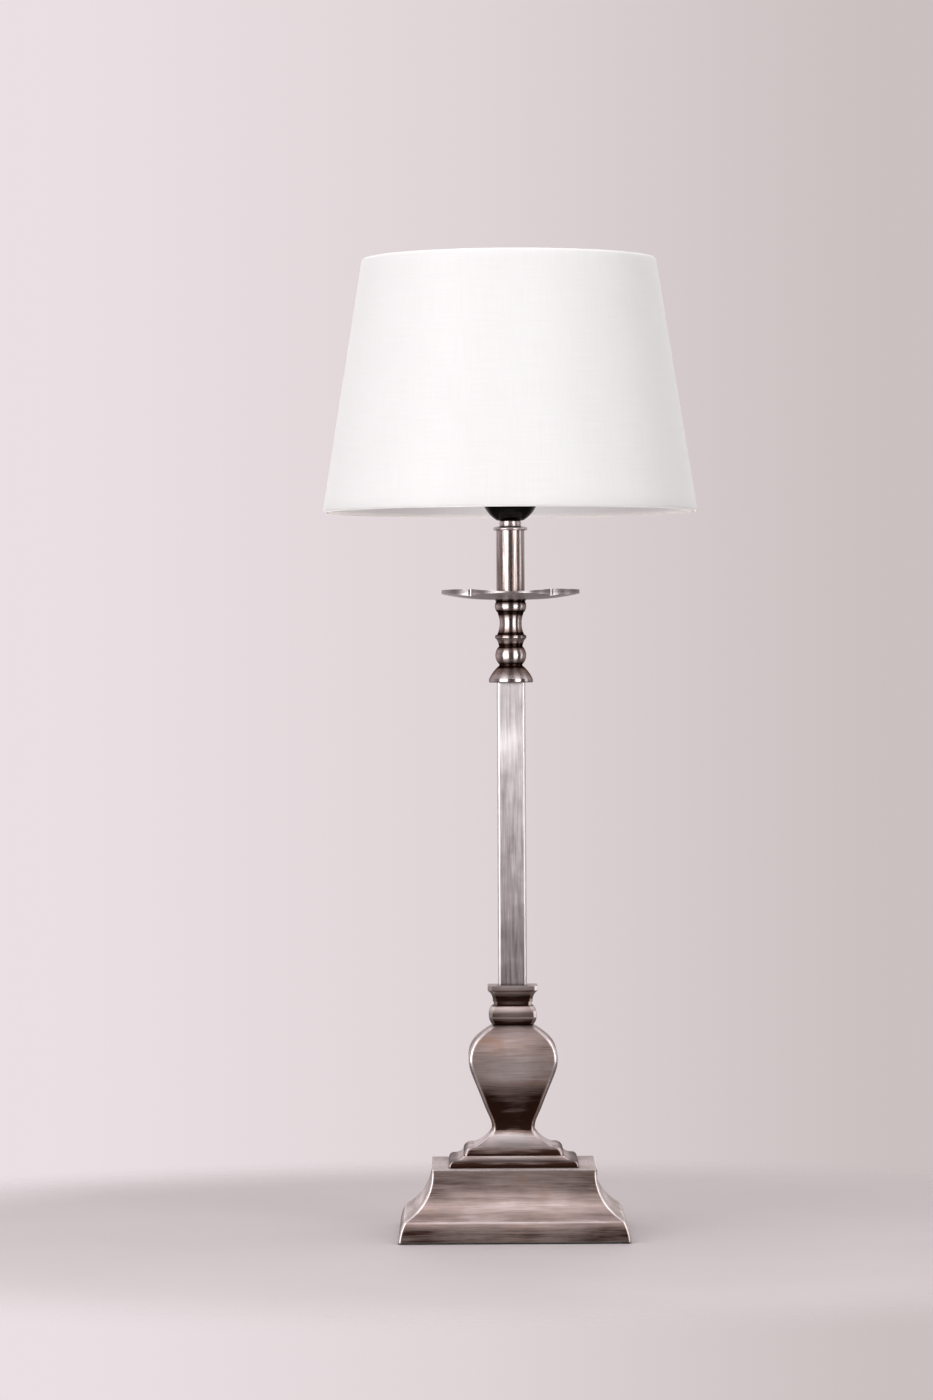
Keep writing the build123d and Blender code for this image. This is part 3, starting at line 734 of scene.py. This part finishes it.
KNURLS, KNURL_RADIUS, KNURL_DEPTH = 60, 22.6, 0.22
KNURLED_STEPS = 480


def skirt_section(angle):
    """The holder's outer shell: a knurled shoulder, and the inside wall up to the rim."""
    knurled = KNURL_RADIUS - KNURL_DEPTH * (0.5 + 0.5 * math.cos(KNURLS * angle))
    return [
        (17.2, 497.5), (19.7, 497.5), (20.0, 497.8), (20.0, 499.5), (20.3, 499.8), (22.3, 500.1),
        (knurled, 500.5), (knurled, 502.1), (22.2, 502.5), (18.9, 502.5), (18.7, 502.7),
        (18.7, 528.4), (18.5, 529.2), (18.0, 529.5), (15.1, 529.5), (14.7, 529.2), (14.6, 528.8),
        (14.6, 505.0), (17.2, 503.5)]


skirt = lathe("holder_skirt", skirt_section, black, KNURLED_STEPS)
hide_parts("lampholder_skirt")
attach(skirt, "stand")


# ---- felt --------------------------------------------------------------------------------------
FELT_HALF, FELT_CORNER = 69.4, 5.0
FELT_BOTTOM, FELT_TOP = 0.02, 1.95
FELT_FUZZ = 0.1
CORNER_STEPS = 8
SCREW_PLACE, SCREW_HOLE = 54, 4.2       # the screws' x and y, and the radius of the felt's holes
CUTTER_SIDES, CUTTER_LENGTH = 32, 10


def felt_piece():
    """The pad under the foot, with four holes over the screws."""
    centre = FELT_HALF - FELT_CORNER
    outline = []
    for quarter, (cx, cy) in enumerate(((1, 1), (-1, 1), (-1, -1), (1, -1))):
        for step in range(CORNER_STEPS + 1):
            angle = math.radians(90 * quarter + 90 * step / CORNER_STEPS)
            radius = FELT_CORNER + FELT_FUZZ * math.sin(9 * step + quarter)
            outline.append((centre * cx + radius * math.cos(angle),
                            centre * cy + radius * math.sin(angle)))
    count = len(outline)
    vertices = [(x, y, z) for z in (FELT_BOTTOM, FELT_TOP) for x, y in outline]
    faces = [tuple(range(count))[::-1], tuple(range(count, 2 * count))]
    faces += [(i, (i + 1) % count, count + (i + 1) % count, count + i) for i in range(count)]
    pad = mesh_piece("felt_foot", vertices, faces, MATERIALS["felt_pad"])
    pad.data.shade_flat()
    cutters = []
    for x in (-SCREW_PLACE, SCREW_PLACE):
        for y in (-SCREW_PLACE, SCREW_PLACE):
            bpy.ops.mesh.primitive_cylinder_add(
                vertices=CUTTER_SIDES, radius=SCREW_HOLE * MM, depth=CUTTER_LENGTH * MM,
                location=(x * MM, y * MM, 0))
            cutter = bpy.context.object
            boolean = pad.modifiers.new("hole", "BOOLEAN")
            boolean.object, boolean.operation, boolean.solver = cutter, "DIFFERENCE", "EXACT"
            cutters.append(cutter)
    bpy.context.view_layer.objects.active = pad
    for modifier in list(pad.modifiers):
        bpy.ops.object.modifier_apply(modifier=modifier.name)
    for cutter in cutters:
        bpy.data.objects.remove(cutter)
    return pad


felt_foot = felt_piece()
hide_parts("felt_pad")
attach(felt_foot, "stand")


# ---- floor and room ----------------------------------------------------------------------------
FLOOR_DEEP, FLOOR_PALE = (0.43, 0.39, 0.395), (0.53, 0.485, 0.495)
DARK_FLOOR = (0.10, 0.085, 0.08)        # the floor as the metal reflects it
FLOOR_FADE = (380, 620)                 # it fades out between these distances from the axis
FLOOR_RINGS, FLOOR_STEPS = (150, 300, 450, 640), 96
FLOOR_GRAIN, GRAIN_LEFT, GRAIN_DEPTH = 0.2, 0.25, 0.1
FLOOR_CLOUD = 0.006


def floor_disc():
    """A pale round surface that fades out towards its edge, and is clear from below.

    Shadow rays pass it, so that a light below it reaches the felt.
    """
    material, n = new_material("pale_floor")
    x, y, _ = n.place()
    drawn_out = n.vector(n.times(x, GRAIN_LEFT), y, 0.0)
    grain = n.noise(drawn_out, FLOOR_GRAIN, detail=5.0, roughness=0.65)
    cloud = n.noise(n.vector(x, y, 0.0), FLOOR_CLOUD, detail=3.0)
    seen = n.mix(n.total(n.times(grain, 0.5), n.times(cloud, 0.5)), FLOOR_DEEP, FLOOR_PALE)
    ray = n.add("LightPath").outputs
    shader = n.add("BsdfPrincipled", {
        "Base Color": n.mix(ray["Is Camera Ray"], DARK_FLOOR, seen),
        "Roughness": 0.55, "Normal": n.bump(grain, GRAIN_DEPTH)})
    clear = n.add("BsdfTransparent")
    unseen = n.remap(n.length(x, y), *FLOOR_FADE, smooth=True)
    unseen = n.math("MAXIMUM", unseen, n.add("NewGeometry").outputs["Backfacing"])
    unseen = n.math("MAXIMUM", unseen, ray["Is Shadow Ray"])
    blended = n.add("MixShader", {0: unseen, 1: shader.outputs[0], 2: clear.outputs[0]})
    n.add("OutputMaterial", {"Surface": blended.outputs[0]})
    steps = FLOOR_STEPS
    vertices = [(0, 0, 0)]
    for ring in FLOOR_RINGS:
        for step in range(steps):
            angle = 2 * math.pi * step / steps
            vertices.append((ring * math.cos(angle), ring * math.sin(angle), 0))
    faces = [(0, 1 + s, 1 + (s + 1) % steps) for s in range(steps)]
    for ring in range(len(FLOOR_RINGS) - 1):
        a, b = 1 + ring * steps, 1 + (ring + 1) * steps
        faces += [(a + s, b + s, b + (s + 1) % steps, a + (s + 1) % steps) for s in range(steps)]
    floor = mesh_piece("floor", vertices, faces, material)


# Colours all round by the direction in degrees, 0 behind the lamp and plus to the right.
DIM = (0.050, 0.035, 0.027)
ROOM_WALLS = (
    (-180, DIM), (-118, (0.10, 0.08, 0.072)), (-92, (0.34, 0.30, 0.29)), (-60, (0.66, 0.60, 0.61)),
    (-4, (0.80, 0.722, 0.745)), (0, (0.74, 0.665, 0.68)), (4, (0.63, 0.565, 0.562)),
    (60, (0.42, 0.375, 0.37)), (85, (0.20, 0.17, 0.16)), (120, DIM), (180, DIM))
# the backdrop is lighter left of the lamp and darker right of it: painted shade on the wall
BACKDROP = (
    (-180, (0.71, 0.645, 0.655)), (-90, (0.75, 0.68, 0.70)), (-4, (0.83, 0.747, 0.775)),
    (0, (0.74, 0.665, 0.68)), (4, (0.59, 0.527, 0.525)), (90, (0.66, 0.60, 0.605)),
    (180, (0.71, 0.645, 0.655)))
ROOM_CEILING = (0.80, 0.75, 0.76)
# upward part of the direction: where the ceiling or the floor starts and where nothing else is left
CEILING_FADE, ROOM_FLOOR_FADE = (0.35, 0.85), (-0.15, -0.60)


def surroundings():
    """A backdrop for the camera, darker on its right as painted shade on the wall, and for
    everything else a room, dim in front of the lamp.
    """
    world = bpy.data.worlds.new("room")
    bpy.context.scene.world = world
    world.use_nodes = True
    n = Nodes(world.node_tree)
    direction = n.add("TexCoord").outputs["Generated"]
    split = n.add("SeparateXYZ", {0: direction})
    x, y, z = split.outputs[0], split.outputs[1], split.outputs[2]
    turn = n.times(n.math("ARCTAN2", x, y), 180 / math.pi)
    above = n.remap(z, *CEILING_FADE, smooth=True)
    below = n.remap(z, *ROOM_FLOOR_FADE, smooth=True)
    walls = n.mix(above, n.colours(turn, ROOM_WALLS), ROOM_CEILING)
    room = n.mix(below, walls, DARK_FLOOR)
    for_camera = n.add("LightPath").outputs["Is Camera Ray"]
    colour = n.mix(for_camera, room, n.colours(turn, BACKDROP))
    background = n.add("Background", {"Color": colour, "Strength": 1.0})
    n.add("OutputWorld", {"Surface": background.outputs[0]})


# ---- light and camera (metres) -----------------------------------------------------------------
def softbox(name, azimuth, distance, height, width, tall, brightness, tint=WHITE, aim=0.3,
            only=None):
    """A rectangular light that faces the axis at the height aim.

    Azimuth is in degrees from the camera's side, plus to the right. only is a collection: if it's
    given, no other piece gets this light.
    """
    angle = math.radians(azimuth)
    place = Vector((distance * math.sin(angle), -distance * math.cos(angle), height))
    data = bpy.data.lights.new(name, "AREA")
    data.shape, data.size, data.size_y = "RECTANGLE", width, tall
    data.color = tint
    data.energy = brightness * math.pi * width * tall
    light = bpy.data.objects.new(name, data)
    light.location = place
    light.rotation_euler = (Vector((0, 0, aim)) - place).to_track_quat("-Z", "Y").to_euler()
    light.visible_camera = False
    if only:
        light.light_linking.receiver_collection = only
    bpy.context.scene.collection.objects.link(light)


def pieces_lit_apart(name, pieces):
    """A collection for lights that only these pieces get."""
    collection = bpy.data.collections.new(name)
    for piece in pieces:
        collection.objects.link(piece)
    return collection


LENS, SENSOR = 146.06, 36.0             # millimetres
CAMERA_PLACE = (-0.0297, -3.787, 0.3637)
CAMERA_DOWN, CAMERA_ROLL = 0.12, 0.3    # degrees


def camera():
    """The photograph's own view."""
    data = bpy.data.cameras.new("camera")
    data.lens, data.sensor_width = LENS, SENSOR
    view = bpy.data.objects.new("camera", data)
    view.location = CAMERA_PLACE
    level = Euler((math.radians(90 - CAMERA_DOWN), 0, 0)).to_matrix()
    roll = Euler((0, 0, math.radians(-CAMERA_ROLL))).to_matrix()
    view.rotation_euler = (level @ roll).to_euler()
    bpy.context.scene.collection.objects.link(view)
    bpy.context.scene.camera = view


floor_disc()
surroundings()
softbox("window_left", azimuth=-40, distance=1.6, height=0.55, width=1.29, tall=2.0,
        brightness=3.1, aim=0.55)
softbox("window_right", azimuth=37.5, distance=1.6, height=0.55, width=0.83, tall=2.0,
        brightness=3.0, aim=0.55)
softbox("strip_right", azimuth=89.5, distance=1.6, height=0.6, width=0.5, tall=1.8,
        brightness=1.0, aim=0.6)
softbox("ceiling", azimuth=-10, distance=0.6, height=2.6, width=3.0, tall=3.0, brightness=1.2)

MID_SHADE = 0.56
shade_pieces = pieces_lit_apart("shade_pieces", (cover, *hems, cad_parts["shade_lining"]))
softbox("shade_front", azimuth=-30, distance=1.6, height=0.6, width=1.0, tall=1.0,
        brightness=0.15, aim=MID_SHADE, only=shade_pieces)
softbox("shade_back", azimuth=180, distance=1.2, height=0.7, width=2.0, tall=1.4,
        brightness=1.2, aim=MID_SHADE, only=shade_pieces)
softbox("shade_below", azimuth=0, distance=0.02, height=0.05, width=0.5, tall=0.5,
        brightness=2.25, tint=(1.0, 0.87, 0.83), aim=MID_SHADE, only=shade_pieces)

felt_pieces = pieces_lit_apart("felt_pieces", (felt_foot,))
softbox("felt_below", azimuth=0, distance=0.3, height=-0.5, width=0.6, tall=0.6,
        brightness=5.0, aim=0.0, only=felt_pieces)

plinth_pieces = pieces_lit_apart("plinth_pieces", (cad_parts["plinth_shell"],))
for name, azimuth in (("plinth_left", -152), ("plinth_right", 152)):
    softbox(name, azimuth, distance=1.2, height=0.2, width=0.9, tall=0.4, brightness=0.8,
            aim=0.03, only=plinth_pieces)
camera()
bpy.context.scene.view_settings.view_transform = "Standard"
